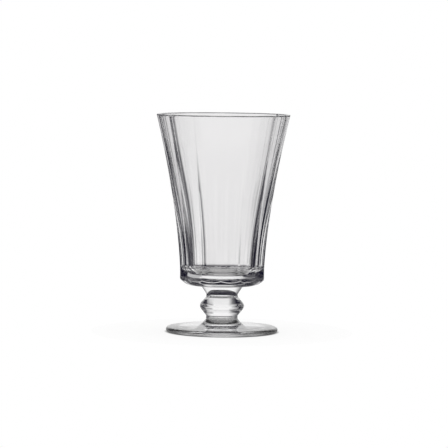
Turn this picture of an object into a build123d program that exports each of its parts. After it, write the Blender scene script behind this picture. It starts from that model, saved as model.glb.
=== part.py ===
from build123d import *
import math
import os

# Pressed footed glass: a panelled bowl, a knopped stem and a round foot, welded hot end to end.
# Millimetres. The origin is the centre of the plane that the foot rests on, +Z up.

# Whole glass
TOTAL_HEIGHT = 150.0
OVERRUN = 5.0
CORNER_BAND_COUNT = 4

# Foot
FOOT_RADIUS = 38.5
FOOT_EDGE_THICKNESS = 3.5
FOOT_RISE = 1.6
COLLAR_RADIUS = 14.4
COLLAR_HEIGHT = 3.8
COLLAR_FILLET = 2.6
FOOT_NECK_LENGTH = 0.7
REST_RING_WIDTH = 5.0
HOLLOW_DEPTH = 0.7
HOLLOW_SLOPE_LENGTH = 2.0

# Stem
NECK_RADIUS = 10.9
STEM_LENGTH = 15.6
LOWER_NECK_LENGTH = 1.8
UPPER_NECK_LENGTH = 1.0
KNOP_RISE = 8.5
KNOP_RADIUS = 15.2
KNOP_CROWN_RADIUS = 3.2
KNOP_CROWN_TURN = 78.0

# Button under the bowl, where the stem is welded on
BUTTON_NECK_LENGTH = 1.1
BUTTON_HEIGHT = 6.1
BUTTON_RADIUS = 14.9

# Bowl, outside
PANEL_COUNT = 14
RIM_APOTHEM = 45.9
BASE_APOTHEM = 28.8
BASE_CORNER_RADIUS = 9.6
BLANK_ALLOWANCE = 2.0
PANEL_STRAIGHT_LENGTH = 8.6
LIP_CHAMFER = 0.6

# Bowl, inside
BASE_THICKNESS = 7.5
FLOOR_FLAT_RADIUS = 14.1
FLOOR_CORNER_RADIUS = 7.5
FLOOR_CORNER_TURN = 83.0
FLOOR_CORNER_BAND_COUNT = 5
WALL_AT_RIM = 2.0
WALL_AT_SHOULDER = 2.2
WALL_AT_MIDDLE = 4.1
WALL_AT_WAIST = 7.0

# Stations on the panels' curved line, as shares of its height and of its flare
WAIST_SHARES = (0.27, 0.14)
MIDDLE_SHARES = (0.52, 0.373)
SHOULDER_SHARES = (0.77, 0.666)

# Heights up the glass, each from the piece below
foot_top_height = FOOT_EDGE_THICKNESS + FOOT_RISE
lower_weld_height = foot_top_height + COLLAR_HEIGHT + FOOT_NECK_LENGTH
knop_height = lower_weld_height + KNOP_RISE
upper_weld_height = lower_weld_height + STEM_LENGTH
underside_height = upper_weld_height + BUTTON_NECK_LENGTH + BUTTON_HEIGHT
panel_foot_height = underside_height + PANEL_STRAIGHT_LENGTH
floor_height = underside_height + BASE_THICKNESS

blank_radius = BASE_APOTHEM + BLANK_ALLOWANCE
blank_rim_radius = RIM_APOTHEM / math.cos(math.pi / PANEL_COUNT) + BLANK_ALLOWANCE


def round_corner(centre, radius, start, turn, bands=CORNER_BAND_COUNT):
    """Points along a round corner of a profile, which is drawn as a few straight bands."""
    angles = [math.radians(start + turn * band / bands) for band in range(bands + 1)]
    across, up = centre
    return [(across + radius * math.cos(a), up + radius * math.sin(a)) for a in angles]


def panel_station(shares, wall=0):
    """A point on the panels' curved line, or one wall's thickness inside it."""
    height_share, flare_share = shares
    apothem = BASE_APOTHEM + flare_share * (RIM_APOTHEM - BASE_APOTHEM)
    height = panel_foot_height + height_share * (TOTAL_HEIGHT - panel_foot_height)
    return (apothem - wall, height)


# Foot: a disc with a round edge, hollowed a little underneath so that it rests on a ring,
# with a short flared collar up to the weld.
edge_radius = FOOT_EDGE_THICKNESS / 2
rest_outer_radius = FOOT_RADIUS - edge_radius
rest_inner_radius = rest_outer_radius - REST_RING_WIDTH
round_edge = round_corner((rest_outer_radius, edge_radius), edge_radius, start=-90, turn=180)

with BuildPart() as foot:
    with BuildSketch(Plane.XZ):
        with BuildLine():
            upper_side = FilletPolyline(
                round_edge[-1],
                (COLLAR_RADIUS, foot_top_height),
                (NECK_RADIUS, lower_weld_height - FOOT_NECK_LENGTH),
                (NECK_RADIUS, lower_weld_height),
                radius=[COLLAR_FILLET, 0],
            )
            Polyline(
                upper_side @ 1,
                (0, lower_weld_height),
                (0, HOLLOW_DEPTH),
                (rest_inner_radius - HOLLOW_SLOPE_LENGTH, HOLLOW_DEPTH),
                (rest_inner_radius, 0),
                *round_edge,
            )
        make_face()
    revolve(axis=Axis.Z)
foot.part.label = "foot"

# Stem: a knop of two cones with a rounded crown, between two short necks of one radius.
crown = round_corner(
    (KNOP_RADIUS - KNOP_CROWN_RADIUS, knop_height),
    KNOP_CROWN_RADIUS,
    start=-KNOP_CROWN_TURN / 2,
    turn=KNOP_CROWN_TURN,
)

with BuildPart() as stem:
    with BuildSketch(Plane.XZ):
        with BuildLine():
            Polyline(
                (0, lower_weld_height),
                (NECK_RADIUS, lower_weld_height),
                (NECK_RADIUS, lower_weld_height + LOWER_NECK_LENGTH),
                *crown,
                (NECK_RADIUS, upper_weld_height - UPPER_NECK_LENGTH),
                (NECK_RADIUS, upper_weld_height),
                (0, upper_weld_height),
                close=True,
            )
        make_face()
    revolve(axis=Axis.Z)
stem.part.label = "stem"

# Cutter for one flat panel: everything outside the panel's line, which stands straight over the
# base and then curves out to the rim. It is curved up and down and flat from side to side.
with BuildPart() as panel_cutter:
    with BuildSketch(Plane.XZ.offset(-blank_rim_radius)):
        with BuildLine():
            panel_foot = (BASE_APOTHEM, panel_foot_height)
            panel_rim = (RIM_APOTHEM, TOTAL_HEIGHT)
            panel_line = Spline(
                panel_foot,
                panel_station(WAIST_SHARES),
                panel_station(MIDDLE_SHARES),
                panel_station(SHOULDER_SHARES),
                panel_rim,
            )
            over_rim = panel_line @ 1 + (panel_line % 1) * OVERRUN
            far_radius = over_rim.X + BLANK_ALLOWANCE + OVERRUN
            Line(panel_line @ 1, over_rim)
            Polyline(
                over_rim,
                (far_radius, over_rim.Y),
                (far_radius, underside_height - OVERRUN),
                (BASE_APOTHEM, underside_height - OVERRUN),
                panel_foot,
            )
        make_face()
    extrude(amount=2 * blank_rim_radius)

# Bowl: a turned blank with a well-rounded lower edge and the button that the stem is welded to.
# The flat panels cut that rounded edge in scallops. The hollow inside is round.
floor_corner = round_corner(
    (FLOOR_FLAT_RADIUS, floor_height + FLOOR_CORNER_RADIUS),
    FLOOR_CORNER_RADIUS,
    start=-90,
    turn=FLOOR_CORNER_TURN,
    bands=FLOOR_CORNER_BAND_COUNT,
)

with BuildPart() as bowl:
    with BuildSketch(Plane.XZ):
        with BuildLine():
            blank_side = FilletPolyline(
                (NECK_RADIUS, upper_weld_height),
                (NECK_RADIUS, upper_weld_height + BUTTON_NECK_LENGTH),
                (BUTTON_RADIUS, underside_height),
                (blank_radius, underside_height),
                (blank_rim_radius, TOTAL_HEIGHT),
                radius=[0, 0, BASE_CORNER_RADIUS],
            )
            Polyline(blank_side @ 1, (0, TOTAL_HEIGHT), (0, upper_weld_height), blank_side @ 0)
        make_face()
    revolve(axis=Axis.Z)
    with PolarLocations(0, PANEL_COUNT):
        add(panel_cutter.part, mode=Mode.SUBTRACT)
    with BuildSketch(Plane.XZ):
        with BuildLine():
            wall_line = Polyline(
                (0, floor_height),
                *floor_corner,
                panel_station(WAIST_SHARES, WALL_AT_WAIST),
                panel_station(MIDDLE_SHARES, WALL_AT_MIDDLE),
                panel_station(SHOULDER_SHARES, WALL_AT_SHOULDER),
                (RIM_APOTHEM - WALL_AT_RIM, TOTAL_HEIGHT),
            )
            over_lip = wall_line @ 1 + (wall_line % 1) * OVERRUN
            Polyline(wall_line @ 1, over_lip, (0, over_lip.Y), (0, floor_height))
        make_face()
    revolve(axis=Axis.Z, mode=Mode.SUBTRACT)
    rim_face = bowl.faces().sort_by(Axis.Z)[-1]
    chamfer(rim_face.edges(), LIP_CHAMFER)
bowl.part.label = "bowl"

os.makedirs("parts", exist_ok=True)
for piece in (foot, stem, bowl):
    export_step(piece.part, f"parts/{piece.part.label}.step")
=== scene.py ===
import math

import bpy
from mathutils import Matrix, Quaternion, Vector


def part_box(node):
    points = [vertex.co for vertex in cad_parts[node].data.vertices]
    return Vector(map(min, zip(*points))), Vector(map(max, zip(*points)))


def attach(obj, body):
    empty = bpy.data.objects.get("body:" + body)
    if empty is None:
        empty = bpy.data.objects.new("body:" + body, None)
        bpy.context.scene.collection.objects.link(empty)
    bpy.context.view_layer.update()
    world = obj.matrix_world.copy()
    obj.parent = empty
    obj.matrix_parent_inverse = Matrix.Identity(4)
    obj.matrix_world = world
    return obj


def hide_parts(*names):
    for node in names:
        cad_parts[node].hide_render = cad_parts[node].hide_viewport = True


bl_info = {
    "name": "Pressed Footed Glass",
    "version": (1, 0, 0),
    "blender": (4, 5, 0),
    "location": "3D View > Sidebar > Glass",
    "description": "Dresses a pressed footed glass: panelled bowl, knopped stem and round foot",
    "category": "Object",
}

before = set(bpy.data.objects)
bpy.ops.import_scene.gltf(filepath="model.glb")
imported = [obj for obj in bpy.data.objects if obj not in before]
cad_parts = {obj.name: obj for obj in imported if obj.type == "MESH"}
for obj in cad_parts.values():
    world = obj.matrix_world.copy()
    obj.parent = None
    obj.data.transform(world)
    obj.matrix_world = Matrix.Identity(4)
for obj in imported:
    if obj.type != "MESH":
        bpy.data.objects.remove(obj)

BODY = "root"
MM = 0.001
OUTER_PANELS = 14

bowl_low, bowl_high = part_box("bowl")
stem_low, stem_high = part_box("stem")
foot_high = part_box("foot")[1]

# How finely the meshes are divided: columns round the axis, rows up a wall and steps round a corner
BOWL_ROWS = 72
BASE_CORNER_STEPS = 20
SCALLOP_STEPS = 5
SMALL_CORNER_STEPS = 8
FLOOR_CORNER_STEPS = 16
KNOP_STEPS = 16
COLLAR_STEPS = 12
FOOT_EDGE_STEPS = 28
STEM_COLUMNS = 144
FOOT_COLUMNS = 192
STAGE_COLUMNS = 96

# The columns of one panel: over the edge at its side, and then across its flat from -1 to 1
PANEL_EDGE_STEPS = 4
PANEL_FLAT_PLACES = (-0.94, -0.75, -0.5, -0.25, 0.0, 0.25, 0.5, 0.75, 0.94)

# Support points on a long run: (how near they stand to its ends, the longest step between them)
BOWL_SUPPORTS = (0.15 * MM, 1.5 * MM)
STEM_SUPPORTS = (0.15 * MM, 1.0 * MM)
FOOT_SUPPORTS = (0.2 * MM, 2.0 * MM)

# The bowl's rows run up the panels from this far under their bend, just over the scallops, to this
# far under the rim, where the lip's roundings begin, and down the hollow to this far over its
# rounded corner
ROWS_UNDER_BEND = 3.4 * MM
ROWS_UNDER_RIM = 2.0 * MM
ROWS_OVER_CORNER = 0.3 * MM

# How far in from the hollow's rounded corner its flat floor has a support point
HOLLOW_FLOOR_SUPPORT = 0.2 * MM

# How often light may bounce: enough to cross the bowl's two walls and its thick base
LIGHT_BOUNCES = 40
GLOSSY_BOUNCES = 24


def length(name, description, default):
    """A length that the user can set, in metres."""
    return bpy.props.FloatProperty(
        name=name, description=description, default=default, min=0.0, precision=5,
        subtype="DISTANCE", unit="LENGTH",
    )


def share(name, description, default):
    """A part of something, from none of it to all of it."""
    return bpy.props.FloatProperty(
        name=name, description=description, default=default, min=0.0, max=1.0, subtype="FACTOR",
    )


def angle(name, description, degrees):
    """An angle that the user can set, given here in degrees."""
    return bpy.props.FloatProperty(
        name=name, description=description, default=math.radians(degrees), subtype="ANGLE",
        unit="ROTATION",
    )


class BowlSizes(bpy.types.PropertyGroup):
    """Sizes of the panelled bowl."""

    rim_height: length("Rim height", "Height of the rim over the table", bowl_high.z)
    weld_height: length("Weld height", "Height of the weld under the bowl", bowl_low.z)
    rim_apothem: length("Rim apothem", "From the axis to a panel's middle at the rim", bowl_high.x)
    base_apothem: length("Base apothem", "From the axis to a panel at the base", 28.8 * MM)
    flare_power: bpy.props.FloatProperty(
        name="Flare power", description="How late the panels turn outwards", default=1.52,
    )
    straight_length: length("Straight length", "Height of the panels' straight foot", 8.6 * MM)
    edge_radius: length("Panel edge radius", "Softness of the panels' edges at the base", 0.6 * MM)
    rim_edge_radius: length("Rim edge radius", "Softness of the same edges at the rim", 4.0 * MM)
    edge_power: bpy.props.FloatProperty(
        name="Edge power", description="How late the panels' edges soften", default=1.5,
    )
    blank_allowance: length("Blank allowance", "How far the blank stood over the panels", 2.0 * MM)
    base_corner: length("Base corner radius", "Rounding of the bowl's lower edge", 9.6 * MM)
    scallop_radius: length("Scallop radius", "Softness of the scallops' edge", 0.9 * MM)
    underside: length("Underside height", "Height of the bowl's underside", 32.4 * MM)
    button_radius: length("Button radius", "Radius of the button under the bowl", 14.9 * MM)
    button_height: length("Button height", "Height of the button's cone", 6.1 * MM)
    button_corner: length("Button corner", "Rounding at the top of the button", 1.2 * MM)
    neck_radius: length("Neck radius", "Radius where the stem is welded on", 10.9 * MM)
    neck_corner: length("Neck corner", "Rounding between the neck and the cones", 1.2 * MM)
    lip_inside: length("Lip inside radius", "Rounding of the rim towards the drink", 1.2 * MM)
    lip_outside: length("Lip outside radius", "Rounding of the rim's outer edge", 0.3 * MM)
    floor_height: length("Floor height", "Height of the hollow's floor", 39.9 * MM)
    floor_corner: length("Floor corner radius", "Rounding between floor and wall", 7.5 * MM)
    wall_at_rim: length("Wall at the rim", "Thickness at a panel's middle", 1.85 * MM)
    wall_at_base: length("Wall at the base", "Thickness at a panel's middle, low down", 7.6 * MM)
    thins_from: share("Thins from", "Share of the height where the wall starts to thin", 0.1)
    thins_to: share("Thins to", "Share of the height where the wall is as thin as the rim", 0.85)


class StemSizes(bpy.types.PropertyGroup):
    """Sizes of the knopped stem."""

    low: length("Lower weld", "Height of the lower weld", stem_low.z)
    high: length("Upper weld", "Height of the upper weld", stem_high.z)
    neck_radius: length("Neck radius", "Radius of both necks", 10.9 * MM)
    lower_neck: length("Lower neck", "Length of the lower neck", 1.8 * MM)
    upper_neck: length("Upper neck", "Length of the upper neck", 1.0 * MM)
    knop_rise: length("Knop rise", "From the lower weld to the knop's widest line", 8.5 * MM)
    cone_radius: length("Cone radius", "Where the knop's two cones would meet", 16.3 * MM)
    crown_radius: length("Crown radius", "Rounding of the knop's widest line", 3.6 * MM)
    neck_corner: length("Neck corner", "Rounding between the necks and the cones", 1.2 * MM)


class FootSizes(bpy.types.PropertyGroup):
    """Sizes of the round foot."""

    radius: length("Radius", "Radius of the foot", foot_high.x)
    edge: length("Edge thickness", "Thickness of the round edge", 3.5 * MM)
    rise: length("Rise", "How much the top climbs from the edge to the collar", 1.6 * MM)
    collar_radius: length("Collar radius", "Radius at the foot of the collar", 14.4 * MM)
    collar_height: length("Collar height", "Height of the collar's cone", 3.8 * MM)
    collar_corner: length("Collar corner", "Rounding between the top and the collar", 2.6 * MM)
    neck_radius: length("Neck radius", "Radius at the weld", 10.9 * MM)
    neck_corner: length("Neck corner", "Rounding between the collar and the neck", 1.2 * MM)
    weld: length("Weld height", "Height of the weld over the foot", foot_high.z)
    ring_width: length("Ring width", "Width of the ring that the foot rests on", 5.0 * MM)
    hollow_depth: length("Hollow depth", "Depth of the hollow underneath", 0.7 * MM)
    hollow_slope: length("Hollow slope", "Width of the slope into the hollow", 2.0 * MM)


class GlassLook(bpy.types.PropertyGroup):
    """Colour and finish of the glass."""

    colour: bpy.props.FloatVectorProperty(
        name="Glass colour", description="Tint of the clear glass", size=3, subtype="COLOR",
        min=0.0, max=1.0, default=(0.975, 0.971, 0.973),
    )
    ior: bpy.props.FloatProperty(name="IOR", description="Index of refraction", default=1.51)
    wave_size: length("Wave size", "Size of the pressed surface's waves", 9.0 * MM)
    wave_height: length("Wave height", "Height of the pressed surface's waves", 0.006 * MM)
    scuff_height: length("Scuff height", "How far up the foot is scuffed", 0.25 * MM)
    scuff_roughness: share("Scuff roughness", "Roughness of the worn resting ring", 0.35)


class StageLook(bpy.types.PropertyGroup):
    """Camera, floor and light."""

    distance: length("Camera distance", "From the glass's axis to the camera", 1.88)
    height: length("Camera height", "Camera's height over the table", 0.200)
    aim_height: length("Aim height", "Height of the point that the camera looks at", 0.0744)
    aim_side: bpy.props.FloatProperty(
        name="Aim side", description="How far right of the axis the camera looks",
        default=0.8 * MM, subtype="DISTANCE", unit="LENGTH", precision=5,
    )
    turn: angle("Turn", "How far the camera stands round from a panel edge", 1.85)
    roll: angle("Roll", "How far the picture leans", 0.6)
    lens: bpy.props.FloatProperty(
        name="Lens", description="Focal length", default=220.0, subtype="DISTANCE_CAMERA",
        unit="CAMERA",
    )
    sensor: bpy.props.FloatProperty(
        name="Sensor", description="Sensor width", default=36.0, subtype="DISTANCE_CAMERA",
        unit="CAMERA",
    )
    view_depth: length("View depth", "How far the camera sees", 20.0)
    floor_radius: length("Floor radius", "Radius of the pale floor", 90.0 * MM)
    # Painted shade: the floor's glow is taken away inside this radius, which paints a contact shadow
    # round the foot
    painted_shade_radius: length("Shade radius", "Floor inside this has no light of its own", 37.0 * MM)
    white_radius: length("White radius", "Floor outside this has its full own light", 40.0 * MM)
    own_light: share("Own light", "Light that the camera sees the floor add to its colour", 0.81)
    floor_colour: bpy.props.FloatVectorProperty(
        name="Floor colour", description="Colour of the pale floor", size=3, subtype="COLOR",
        min=0.0, max=1.0, default=(0.2, 0.2, 0.2),
    )


# Profiles. A profile is a line of (radius, height) points.


def turned(x, y, by):
    """A flat point, turned round the origin by this angle."""
    return Vector((x * math.cos(by) - y * math.sin(by), x * math.sin(by) + y * math.cos(by)))


def arc(centre, radius, start, turn, steps):
    """Points along an arc, both ends included."""
    angles = [start + turn * step / steps for step in range(steps + 1)]
    across, up = centre
    return [Vector((across + radius * math.cos(a), up + radius * math.sin(a))) for a in angles]


def tangent_corner(before, corner, after, radius, steps):
    """The points that round one corner of a profile."""
    to_before = (before - corner).normalized()
    to_after = (after - corner).normalized()
    half = to_before.angle(to_after) / 2
    reach = radius / math.tan(half)
    middle = (to_before + to_after).normalized()
    centre = corner + middle * (radius / math.sin(half))
    start = corner + to_before * reach - centre
    end = corner + to_after * reach - centre
    turn = start.angle_signed(end)
    return [centre + turned(*start, -turn * step / steps) for step in range(steps + 1)]


def rounded_profile(corners, steps):
    """A profile through (radius, height, rounding) corners. A rounding of zero stays sharp."""
    places = [Vector(c[:2]) for c in corners]
    points = [places[0]]
    for i in range(1, len(corners) - 1):
        if corners[i][2] > 0:
            points += tangent_corner(places[i - 1], places[i], places[i + 1], corners[i][2], steps)
        else:
            points.append(places[i])
    return points + [places[-1]]


def with_supports(points, gap, longest):
    """The profile with points near both ends of each long run, which keep its shading flat."""
    out = [points[0]]
    for a, b in zip(points, points[1:]):
        run = (b - a).length
        if run > 3 * gap:
            inner = max(1, math.ceil((run - 2 * gap) / longest))
            for i in range(inner + 1):
                out.append(a.lerp(b, (gap + (run - 2 * gap) * i / inner) / run))
        out.append(b)
    return out


def stood_up(profile, direction):
    """A profile's points, in this direction from the axis."""
    return [Vector((direction.x * p.x, direction.y * p.x, p.y)) for p in profile]


def mesh_object(name, vertices, faces, caps, materials):
    """A smooth-shaded mesh object. The faces that caps names get the second material."""
    mesh = bpy.data.meshes.new(name)
    mesh.from_pydata(vertices, [], faces)
    for material in materials:
        mesh.materials.append(material)
    for i, polygon in enumerate(mesh.polygons):
        polygon.use_smooth = i not in caps
        polygon.material_index = 1 if i in caps else 0
    mesh.update()
    piece = bpy.data.objects.new(name, mesh)
    bpy.context.scene.collection.objects.link(piece)
    return piece


def ring_faces(rows, columns):
    """Quads between closed rings of vertices, from the first ring to the last."""
    faces = []
    for row in range(rows - 1):
        for column in range(columns):
            beside = (column + 1) % columns
            faces.append((
                row * columns + column,
                row * columns + beside,
                (row + 1) * columns + beside,
                (row + 1) * columns + column,
            ))
    return faces


def closed_piece(name, lines, materials, start_cap, end_cap):
    """A closed mesh from lines of points that stand side by side round the axis.

    A fan of faces closes each end. Where a cap is asked for, the fan gets the weld's material.
    """
    rings = list(zip(*lines))
    columns = len(lines)
    vertices = [point for ring in rings for point in ring]
    faces = ring_faces(len(rings), columns)
    caps = set()
    for ring, first, is_cap, flipped in (
        (rings[0], 0, start_cap, True),
        (rings[-1], (len(rings) - 1) * columns, end_cap, False),
    ):
        middle = len(vertices)
        vertices.append(Vector((0.0, 0.0, sum(p.z for p in ring) / columns)))
        for column in range(columns):
            beside = (column + 1) % columns
            edge = (first + beside, first + column) if flipped else (first + column, first + beside)
            if is_cap:
                caps.add(len(faces))
            faces.append((*edge, middle))
    return mesh_object(name, vertices, faces, caps, materials)


def turned_piece(name, profile, columns, materials, start_cap, end_cap):
    """A closed piece that is round, from one profile."""
    directions = arc((0.0, 0.0), 1.0, 0.0, 2 * math.pi, columns)[:-1]
    lines = [stood_up(profile, direction) for direction in directions]
    return closed_piece(name, lines, materials, start_cap, end_cap)


# Materials


class Nodes:
    """Adds and joins shader nodes in one tree."""

    def __init__(self, tree):
        self.tree = tree
        tree.nodes.clear()

    def feed(self, socket, value):
        """Set a socket to a value, or join another node's output to it."""
        if isinstance(value, bpy.types.NodeSocket):
            self.tree.links.new(value, socket)
        else:
            socket.default_value = value

    def add(self, kind, inputs=(), **settings):
        """Add a node, make its settings and feed its inputs."""
        node = self.tree.nodes.new(kind)
        for name, value in settings.items():
            setattr(node, name, value)
        for name, value in dict(inputs).items():
            self.feed(node.inputs[name], value)
        return node

    def maths(self, operation, *values):
        """The result of one sum on values or outputs."""
        return self.add("ShaderNodeMath", enumerate(values), operation=operation).outputs[0]

    def levels(self, place, stops):
        """A grey level for each place from 0 to 1, from (place, level) stops."""
        ramp = self.add("ShaderNodeValToRGB", {"Fac": place})
        elements = ramp.color_ramp.elements
        for i, (at, level) in enumerate(stops):
            stop = elements[i] if i < 2 else elements.new(at)
            stop.position = at
            stop.color = (level, level, level, 1.0)
        return ramp.outputs[0]


# The faint waves in the glass, and the scuffs on the ring that it rests on
WAVE_NOISE = {"Detail": 1.5, "Roughness": 0.4}
SCUFF_NOISE = {"Scale": 900.0, "Detail": 6.0, "Roughness": 0.7}


def glass_material(name, look, worn_foot):
    """Clear pressed glass: fire-polished skin with faint waves, and scuffs on a foot's ring."""
    material = bpy.data.materials.new(name)
    material.use_nodes = True
    n = Nodes(material.node_tree)
    place = n.add("ShaderNodeTexCoord").outputs["Object"]
    waves = n.add(
        "ShaderNodeTexNoise", {"Vector": place, "Scale": 1 / look.wave_size, **WAVE_NOISE},
    )
    skin = n.add(
        "ShaderNodeBump",
        {"Height": waves.outputs[0], "Distance": look.wave_height, "Strength": 1.0},
    )
    glass = n.add("ShaderNodeBsdfPrincipled", {
        "Base Color": (*look.colour, 1.0), "Transmission Weight": 1.0, "Roughness": 0.0,
        "IOR": look.ior, "Normal": skin.outputs[0],
    })
    if worn_foot:
        height = n.add("ShaderNodeSeparateXYZ", {"Vector": place}).outputs["Z"]
        ring = n.add("ShaderNodeMapRange", {
            "Value": height, "From Min": look.scuff_height, "From Max": 0.0,
            "To Min": 0.0, "To Max": 1.0,
        }).outputs[0]
        scuffs = n.add("ShaderNodeTexNoise", {"Vector": place, **SCUFF_NOISE})
        worn = n.maths("MULTIPLY", ring, scuffs.outputs[0])
        n.feed(glass.inputs["Roughness"], n.maths("MULTIPLY", worn, look.scuff_roughness))
    n.add("ShaderNodeOutputMaterial", {"Surface": glass.outputs[0]})
    return material


def weld_material():
    """The inside of a hot weld, where two pieces of glass are one and nothing shows."""
    material = bpy.data.materials.get("hot_weld")
    if material:
        return material
    material = bpy.data.materials.new("hot_weld")
    material.use_nodes = True
    n = Nodes(material.node_tree)
    clear = n.add("ShaderNodeBsdfTransparent")
    n.add("ShaderNodeOutputMaterial", {"Surface": clear.outputs[0]})
    return material


# The floor's fine grain, and how much it shows
FLOOR_GRAIN = {"Scale": 400.0, "Detail": 3.0, "Roughness": 0.6}
FLOOR_BUMP = {"Distance": 0.02 * MM, "Strength": 0.3}

# The floor's own light as the glass sees it, ring by ring: (radius in mm, level). These rings are
# painted shadow: darkest where the foot rests, dim under the foot, and nearly white at the floor's
# edge.
FLOOR_PAINTED_SHADOW_RINGS = (
    (0.0, 0.36), (29.0, 0.36), (32.0, 0.04), (35.0, 0.04), (37.5, 0.14), (54.0, 0.14),
    (62.0, 0.25), (78.0, 0.35), (89.0, 0.8),
)


def floor_material(stage):
    """Pale floor, which the camera sees as white all round the foot; its glow paints the foot's
    shadow under and round the foot.
    """
    material = bpy.data.materials.new("pale_floor")
    material.use_nodes = True
    n = Nodes(material.node_tree)
    place = n.add("ShaderNodeTexCoord").outputs["Object"]
    grain = n.add("ShaderNodeTexNoise", {"Vector": place, **FLOOR_GRAIN})
    bump = n.add("ShaderNodeBump", {"Height": grain.outputs[0], **FLOOR_BUMP})
    paper = n.add("ShaderNodeBsdfDiffuse", {
        "Color": (*stage.floor_colour, 1.0), "Normal": bump.outputs[0],
    })
    path = n.add("ShaderNodeLightPath").outputs
    radius = n.add("ShaderNodeVectorMath", {"Vector": place}, operation="LENGTH").outputs["Value"]
    # Painted shade: the glow that the camera sees rises from nothing at the painted shade radius to
    # full at the white radius
    direct_glow_with_painted_shade = n.add("ShaderNodeMapRange", {
        "Value": radius, "From Min": stage.painted_shade_radius, "From Max": stage.white_radius,
        "To Min": 0.0, "To Max": stage.own_light,
    }).outputs[0]
    # Painted shadow: the glow that the glass sees follows the rings, dark where the foot rests
    glass_glow_with_painted_shadow = n.levels(
        n.maths("DIVIDE", radius, stage.floor_radius),
        [(ring * MM / stage.floor_radius, level) for ring, level in FLOOR_PAINTED_SHADOW_RINGS],
    )
    by_glass = n.maths("MAXIMUM", path["Is Glossy Ray"], path["Is Transmission Ray"])
    # The glow gives the even white floor and, near the foot, the painted shadow
    own_light = n.add("ShaderNodeEmission", {"Strength": n.maths(
        "ADD", n.maths("MULTIPLY", path["Is Camera Ray"], direct_glow_with_painted_shade),
        n.maths("MULTIPLY", by_glass, glass_glow_with_painted_shadow),
    )})
    both = n.add("ShaderNodeAddShader", {0: paper.outputs[0], 1: own_light.outputs[0]})
    n.add("ShaderNodeOutputMaterial", {"Surface": both.outputs[0]})
    return material


# The studio as the glass sees it. Each row is (degrees over the horizon, levels round it), and the
# levels are (degrees right of straight behind the glass, level). They blend from one to the next,
# round each row and between the rows. Under the first row and over the last, their levels go on.
# Tall windows with dark cards between them stand at the sides and the back.
LEFT_WINDOWS = ((-168, 0.8), (-164, 0.0), (-107, 0.0), (-104, 0.9), (-77, 0.9), (-74, 0.0))
RIGHT_WINDOWS = (
    (76, 0.0), (80, 0.8), (100, 0.8), (104, 0.0), (115, 0.0), (118, 0.9), (152, 0.9), (155, 0.0),
    (164, 0.0), (168, 0.8),
)
LOW_WINDOWS = (
    (-102, 0.9), (-97, 0.2), (-60, 0.2), (-57, 0.9), (-32, 0.9), (-29, 0.2), (106, 0.2),
    (110, 0.9),
)
SKY_ROWS = (
    (-58.0, ((-180, 0.9), (180, 0.9))),
    (-50.0, LOW_WINDOWS),
    (-30.0, LOW_WINDOWS),
    (-27.0, ((-104, 0.9), (-99, 0.1), (-60, 0.1), (-55, 0.9), (-35, 0.9), (-30, 0.1), (106, 0.1),
             (110, 0.9))),
    (-22.0, ((-130, 0.9), (-122, 0.0), (-58, 0.0), (-53, 0.6), (-37, 0.6), (-32, 0.0), (-1, 0.0),
             (1, 0.5), (17, 0.5), (20, 0.0), (106, 0.0), (112, 0.9))),
    (-16.0, (*LEFT_WINDOWS, (-18, 0.0), (-14, 0.3), (13, 0.1), (15, 0.9), (33, 0.8), (37, 0.0),
             *RIGHT_WINDOWS)),
    (-11.0, (*LEFT_WINDOWS, (-34, 0.0), (-24, 0.1), (-19, 0.45), (-14, 0.88), (24, 0.88),
             (34, 0.5), (38, 0.0), *RIGHT_WINDOWS)),
    (-4.0, (*LEFT_WINDOWS, (-38, 0.0), (-30, 0.15), (-24, 0.3), (-19, 0.65), (-14, 0.92),
            (14, 0.92), (19, 0.6), (34, 0.4), (38, 0.0), *RIGHT_WINDOWS)),
    (0.0, (*LEFT_WINDOWS, (-40, 0.0), (-34, 0.3), (-22, 0.6), (-17, 0.6), (-13, 0.95),
           (14, 0.95), (19, 0.3), (31, 0.3), (35, 0.0), *RIGHT_WINDOWS)),
    (6.0, ((-44, 0.0), (-38, 0.4), (-20, 0.8), (-14, 1.0), (14, 1.0), (18, 0.6), (34, 0.6),
           (44, 0.0))),
    (14.0, ((-42, 0.0), (-28, 0.5), (-18, 1.0), (22, 1.0), (34, 0.6), (44, 0.0))),
    (34.0, ((-40, 0.0), (-26, 0.8), (-14, 0.9), (14, 0.9), (26, 0.8), (40, 0.0))),
    (38.0, ((-180, 0.0), (180, 0.0))),
)

# The colours that levels 0 and 1 stand for: the dark cards are nearly black, and a little blue
DARK_CARD = (0.004, 0.003, 0.014, 1.0)
WHITE_CARD = (1.0, 1.0, 1.0, 1.0)


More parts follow.
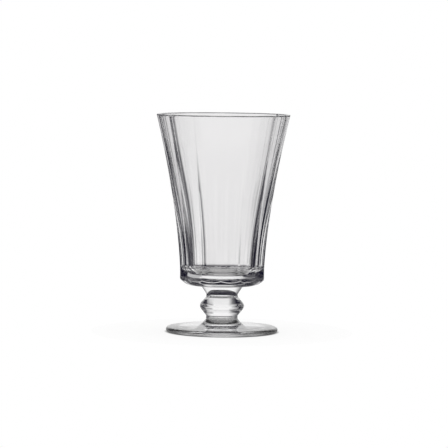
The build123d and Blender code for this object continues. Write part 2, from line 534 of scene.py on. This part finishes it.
def studio_world():
    """White seen directly; even light on the floor; white and dark cards seen in the glass."""
    world = bpy.data.worlds.new("studio")
    bpy.context.scene.world = world
    world.use_nodes = True
    n = Nodes(world.node_tree)
    way = n.add("ShaderNodeTexCoord").outputs["Generated"]
    axes = n.add("ShaderNodeSeparateXYZ", {"Vector": way}).outputs
    round_angle = n.maths("ARCTAN2", axes["X"], axes["Y"])
    place = n.maths("ADD", n.maths("DIVIDE", round_angle, 2 * math.pi), 0.5)
    rise = n.maths("MULTIPLY", n.maths("ARCSINE", axes["Z"]), 180 / math.pi)
    rows = [
        (height, n.levels(place, [(degrees / 360 + 0.5, level) for degrees, level in levels]))
        for height, levels in SKY_ROWS
    ]
    lower, in_glass = rows[0]
    for upper, row in rows[1:]:
        over = n.add("ShaderNodeMapRange", {
            "Value": rise, "From Min": lower, "From Max": upper,
        }).outputs[0]
        kept = n.maths("MULTIPLY", in_glass, n.maths("SUBTRACT", 1.0, over))
        in_glass = n.maths("ADD", kept, n.maths("MULTIPLY", over, row))
        lower = upper
    path = n.add("ShaderNodeLightPath").outputs
    white = n.maths("MAXIMUM", path["Is Camera Ray"], path["Is Diffuse Ray"])
    shown = n.maths("ADD", white, n.maths("MULTIPLY", n.maths("SUBTRACT", 1.0, white), in_glass))
    card = n.add(
        "ShaderNodeMix", {"Factor": shown, "A": DARK_CARD, "B": WHITE_CARD}, data_type="RGBA",
    )
    light = n.add("ShaderNodeBackground", {"Color": card.outputs["Result"]})
    n.add("ShaderNodeOutputWorld", {"Surface": light.outputs[0]})
    return world


# Pieces


def panel_columns():
    """The bowl's columns: (panel, place on its flat, part of its edge), one of the last two None."""
    columns = []
    for panel in range(OUTER_PANELS):
        for step in range(PANEL_EDGE_STEPS + 1):
            columns.append((panel, None, step / PANEL_EDGE_STEPS))
        for flat in PANEL_FLAT_PLACES:
            columns.append((panel, flat, None))
    return columns


def panel_point(column, apothem, rounding):
    """The place in plan of a column, for panels at this apothem with edges rounded this much."""
    panel, flat, edge = column
    half = math.pi / OUTER_PANELS
    if edge is None:
        x = apothem
        y = flat * ((apothem - rounding) * math.tan(half))
    else:
        a = (2 * edge - 1) * half - half
        middle = (apothem - rounding) / math.cos(half)
        x = middle * math.cos(half) + rounding * math.cos(a)
        y = -middle * math.sin(half) + rounding * math.sin(a)
    return turned(x, y, 2 * math.pi * panel / OUTER_PANELS)


def smooth_step(value):
    """From 0 to 1, starting and ending slowly."""
    t = min(1.0, max(0.0, value))
    return t * t * (3 - 2 * t)


def bend_height(sizes):
    """Where the panels leave their straight foot and start to flare."""
    return sizes.underside + sizes.straight_length


def flare_part(sizes, z):
    """How far up the flare this height is, from 0 at the bend to 1 at the rim."""
    bend = bend_height(sizes)
    return max(0.0, (z - bend) / (sizes.rim_height - bend))


def outer_apothem(sizes, z):
    """How far a panel's middle stands from the axis at this height."""
    flared = flare_part(sizes, z) ** sizes.flare_power
    return sizes.base_apothem + (sizes.rim_apothem - sizes.base_apothem) * flared


def edge_rounding(sizes, z):
    """How round the edges between the panels are at this height: the fire softens them upwards."""
    softened = flare_part(sizes, z) ** sizes.edge_power
    return sizes.edge_radius + (sizes.rim_edge_radius - sizes.edge_radius) * softened


def inner_radius(sizes, z):
    """The radius of the round hollow at this height."""
    part = (flare_part(sizes, z) - sizes.thins_from) / (sizes.thins_to - sizes.thins_from)
    wall = sizes.wall_at_base + (sizes.wall_at_rim - sizes.wall_at_base) * smooth_step(part)
    return outer_apothem(sizes, z) - wall


def outer_point(sizes, column, z):
    """The place in plan of a column on the panels at this height."""
    return panel_point(column, outer_apothem(sizes, z), edge_rounding(sizes, z))


def base_profile(sizes, reach):
    """From the weld out to where a panel that stands this far from the axis cuts the round edge."""
    radius = sizes.base_corner
    centre = Vector((
        sizes.base_apothem + sizes.blank_allowance - radius, sizes.underside + radius,
    ))
    cut_angle = math.acos((reach - centre.x) / radius)
    cut = Vector((reach, centre.y - radius * math.sin(cut_angle)))
    # The weld's neck, the button's cone and the flat underside.
    weld_to_corner = rounded_profile((
        (sizes.neck_radius, sizes.weld_height, 0),
        (sizes.neck_radius, sizes.underside - sizes.button_height, sizes.neck_corner),
        (sizes.button_radius, sizes.underside, sizes.button_corner),
        (centre.x, sizes.underside, 0),
    ), SMALL_CORNER_STEPS)
    # The blank's round edge, and the scallop's softened line where the panel cuts it.
    corner = arc(centre, radius, -math.pi / 2, math.pi / 2 - cut_angle, BASE_CORNER_STEPS)
    before_cut = cut - Vector((math.sin(cut_angle), math.cos(cut_angle)))
    over_cut = cut + Vector((0.0, 1.0))
    scallop = tangent_corner(before_cut, cut, over_cut, sizes.scallop_radius, SCALLOP_STEPS)
    return with_supports(weld_to_corner, *BOWL_SUPPORTS) + corner[1:-1] + scallop


def lip_profile(sizes, reach, reach_below, z_below):
    """Over the lip, rounded on both sides, from the last row outside to the first inside."""
    return rounded_profile((
        (reach_below, z_below, 0),
        (reach, sizes.rim_height, sizes.lip_outside),
        (inner_radius(sizes, sizes.rim_height), sizes.rim_height, sizes.lip_inside),
        (inner_radius(sizes, z_below), z_below, 0),
    ), SMALL_CORNER_STEPS)[1:]


def floor_profile(sizes):
    """The hollow's rounded corner and half of its flat floor, from the wall inwards."""
    radius = sizes.floor_corner
    top = sizes.floor_height + radius
    slope = (inner_radius(sizes, top + MM) - inner_radius(sizes, top)) / MM
    lean = math.atan(slope)
    end_height = sizes.floor_height + radius * (1 - math.sin(lean))
    centre = Vector((inner_radius(sizes, end_height) - radius * math.cos(lean), top))
    points = arc(centre, radius, -lean, lean - math.pi / 2, FLOOR_CORNER_STEPS)
    flat = (centre.x - HOLLOW_FLOOR_SUPPORT, centre.x / 2)
    return points + [Vector((across, sizes.floor_height)) for across in flat]


def bowl_column(sizes, column, up, down):
    """One column's points, from the weld up the outside, over the lip and down to the floor."""
    base = panel_point(column, sizes.base_apothem, sizes.edge_radius)
    rim = panel_point(column, sizes.rim_apothem, sizes.rim_edge_radius)
    panel = [Vector((*outer_point(sizes, column, z), z)) for z in up]
    below = outer_point(sizes, column, up[-1])
    inside = lip_profile(sizes, rim.length, below.length, up[-1])
    inside += [Vector((inner_radius(sizes, z), z)) for z in down[1:]]
    inside += floor_profile(sizes)
    outside = stood_up(base_profile(sizes, base.length), base.normalized())
    return outside + panel + stood_up(inside, rim.normalized())


def wall_heights(sizes):
    """The heights of the rows of points up the panels, and of those down the hollow."""
    lowest = bend_height(sizes) - ROWS_UNDER_BEND
    top = sizes.rim_height - ROWS_UNDER_RIM
    corner = sizes.floor_height + sizes.floor_corner + ROWS_OVER_CORNER
    up = [lowest + (top - lowest) * row / BOWL_ROWS for row in range(BOWL_ROWS + 1)]
    down = [top + (corner - top) * row / BOWL_ROWS for row in range(BOWL_ROWS + 1)]
    return up, down


class OBJECT_OT_glass_bowl(bpy.types.Operator):
    """Make the panelled bowl and put it in the place of the CAD bowl"""

    bl_idname = "object.glass_bowl"
    bl_label = "Panelled Bowl"

    def execute(self, context):
        sizes = context.scene.glass_bowl
        up, down = wall_heights(sizes)
        lines = [bowl_column(sizes, column, up, down) for column in panel_columns()]
        glass = glass_material("bowl_clear_glass", context.scene.glass_look, worn_foot=False)
        piece = closed_piece(
            "panelled_bowl", lines, (glass, weld_material()), start_cap=True, end_cap=False,
        )
        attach(piece, BODY)
        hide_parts("bowl")
        return {"FINISHED"}


class OBJECT_OT_glass_stem(bpy.types.Operator):
    """Make the knopped stem and put it in the place of the CAD stem"""

    bl_idname = "object.glass_stem"
    bl_label = "Knopped Stem"

    def execute(self, context):
        sizes = context.scene.glass_stem
        knop = sizes.low + sizes.knop_rise
        lower, upper = sizes.low + sizes.lower_neck, sizes.high - sizes.upper_neck
        line = rounded_profile((
            (sizes.neck_radius, sizes.low, 0),
            (sizes.neck_radius, lower, sizes.neck_corner),
            (sizes.cone_radius, knop, sizes.crown_radius),
            (sizes.neck_radius, upper, sizes.neck_corner),
            (sizes.neck_radius, sizes.high, 0),
        ), KNOP_STEPS)
        line = with_supports(line, *STEM_SUPPORTS)
        glass = glass_material("stem_clear_glass", context.scene.glass_look, worn_foot=False)
        piece = turned_piece(
            "knopped_stem", line, STEM_COLUMNS, (glass, weld_material()),
            start_cap=True, end_cap=True,
        )
        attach(piece, BODY)
        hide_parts("stem")
        return {"FINISHED"}


class OBJECT_OT_glass_foot(bpy.types.Operator):
    """Make the round foot and put it in the place of the CAD foot"""

    bl_idname = "object.glass_foot"
    bl_label = "Round Foot"

    def execute(self, context):
        sizes = context.scene.glass_foot
        edge = sizes.edge / 2
        rest_outer = sizes.radius - edge
        rest_inner = rest_outer - sizes.ring_width
        top = sizes.edge + sizes.rise
        line = [
            Vector(((rest_inner - sizes.hollow_slope) / 2, sizes.hollow_depth)),
            Vector((rest_inner - sizes.hollow_slope, sizes.hollow_depth)),
            Vector((rest_inner, 0.0)),
        ]
        line += arc((rest_outer, edge), edge, -math.pi / 2, math.pi, FOOT_EDGE_STEPS)
        line += rounded_profile((
            (rest_outer, sizes.edge, 0),
            (sizes.collar_radius, top, sizes.collar_corner),
            (sizes.neck_radius, top + sizes.collar_height, sizes.neck_corner),
            (sizes.neck_radius, sizes.weld, 0),
        ), COLLAR_STEPS)[1:]
        line = with_supports(line, *FOOT_SUPPORTS)
        glass = glass_material("foot_clear_glass", context.scene.glass_look, worn_foot=True)
        piece = turned_piece(
            "round_foot", line, FOOT_COLUMNS, (glass, weld_material()),
            start_cap=False, end_cap=True,
        )
        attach(piece, BODY)
        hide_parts("foot")
        return {"FINISHED"}


class OBJECT_OT_glass_stage(bpy.types.Operator):
    """Set the floor, the light and the camera"""

    bl_idname = "object.glass_stage"
    bl_label = "Floor, Light and Camera"

    def execute(self, context):
        stage = context.scene.glass_stage
        self.make_floor(stage)
        studio_world()
        self.make_camera(context.scene, stage)
        context.scene.view_settings.view_transform = "Standard"
        cycles = context.scene.cycles
        cycles.max_bounces = LIGHT_BOUNCES
        cycles.transmission_bounces = LIGHT_BOUNCES
        cycles.transparent_max_bounces = LIGHT_BOUNCES
        cycles.glossy_bounces = GLOSSY_BOUNCES
        cycles.caustics_reflective = False
        cycles.caustics_refractive = False
        return {"FINISHED"}

    def make_floor(self, stage):
        """A disc round the origin, as a fan."""
        ring = arc((0.0, 0.0), stage.floor_radius, 0.0, 2 * math.pi, STAGE_COLUMNS)[:-1]
        points = [point.to_3d() for point in ring] + [Vector((0.0, 0.0, 0.0))]
        faces = [(i, (i + 1) % STAGE_COLUMNS, STAGE_COLUMNS) for i in range(STAGE_COLUMNS)]
        floor = mesh_object("pale_floor", points, faces, set(), (floor_material(stage),))

    def make_camera(self, scene, stage):
        """The camera, set out by its distance, turn and height, and rolled by the lean."""
        data = bpy.data.cameras.new("camera")
        camera = bpy.data.objects.new("camera", data)
        scene.collection.objects.link(camera)
        scene.camera = camera
        data.lens = stage.lens
        data.sensor_width = stage.sensor
        data.clip_end = stage.view_depth
        side = Vector((math.cos(stage.turn), math.sin(stage.turn), 0.0))
        back = Vector((math.sin(stage.turn), -math.cos(stage.turn), 0.0))
        camera.location = back * stage.distance + Vector((0.0, 0.0, stage.height))
        aim = side * stage.aim_side + Vector((0.0, 0.0, stage.aim_height))
        look = (aim - camera.location).to_track_quat("-Z", "Y")
        camera.rotation_mode = "QUATERNION"
        camera.rotation_quaternion = look @ Quaternion((0.0, 0.0, 1.0), stage.roll)


OPERATORS = (
    OBJECT_OT_glass_bowl,
    OBJECT_OT_glass_stem,
    OBJECT_OT_glass_foot,
    OBJECT_OT_glass_stage,
)
GROUPS = {
    "glass_bowl": BowlSizes,
    "glass_stem": StemSizes,
    "glass_foot": FootSizes,
    "glass_look": GlassLook,
    "glass_stage": StageLook,
}


class VIEW3D_PT_footed_glass(bpy.types.Panel):
    """Sizes, colours and steps of the footed glass"""

    bl_idname = "VIEW3D_PT_footed_glass"
    bl_label = "Footed Glass"
    bl_space_type = "VIEW_3D"
    bl_region_type = "UI"
    bl_category = "Glass"

    def draw(self, context):
        layout = self.layout
        for name, group in GROUPS.items():
            box = layout.box()
            box.label(text=group.__doc__)
            for key in group.__annotations__:
                box.prop(getattr(context.scene, name), key)
        for operator in OPERATORS:
            layout.operator(operator.bl_idname)


CLASSES = (*GROUPS.values(), *OPERATORS, VIEW3D_PT_footed_glass)


def register():
    """Make the classes known, and give the scene a group of each kind."""
    for cls in CLASSES:
        bpy.utils.register_class(cls)
    for name, group in GROUPS.items():
        setattr(bpy.types.Scene, name, bpy.props.PointerProperty(type=group))


def unregister():
    """Take away what register added."""
    for name in GROUPS:
        delattr(bpy.types.Scene, name)
    for cls in reversed(CLASSES):
        bpy.utils.unregister_class(cls)


def main():
    """Dress the glass and its stage."""
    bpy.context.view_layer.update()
    register()
    bpy.ops.object.glass_bowl()
    bpy.ops.object.glass_stem()
    bpy.ops.object.glass_foot()
    bpy.ops.object.glass_stage()


if __name__ == "__main__":
    main()
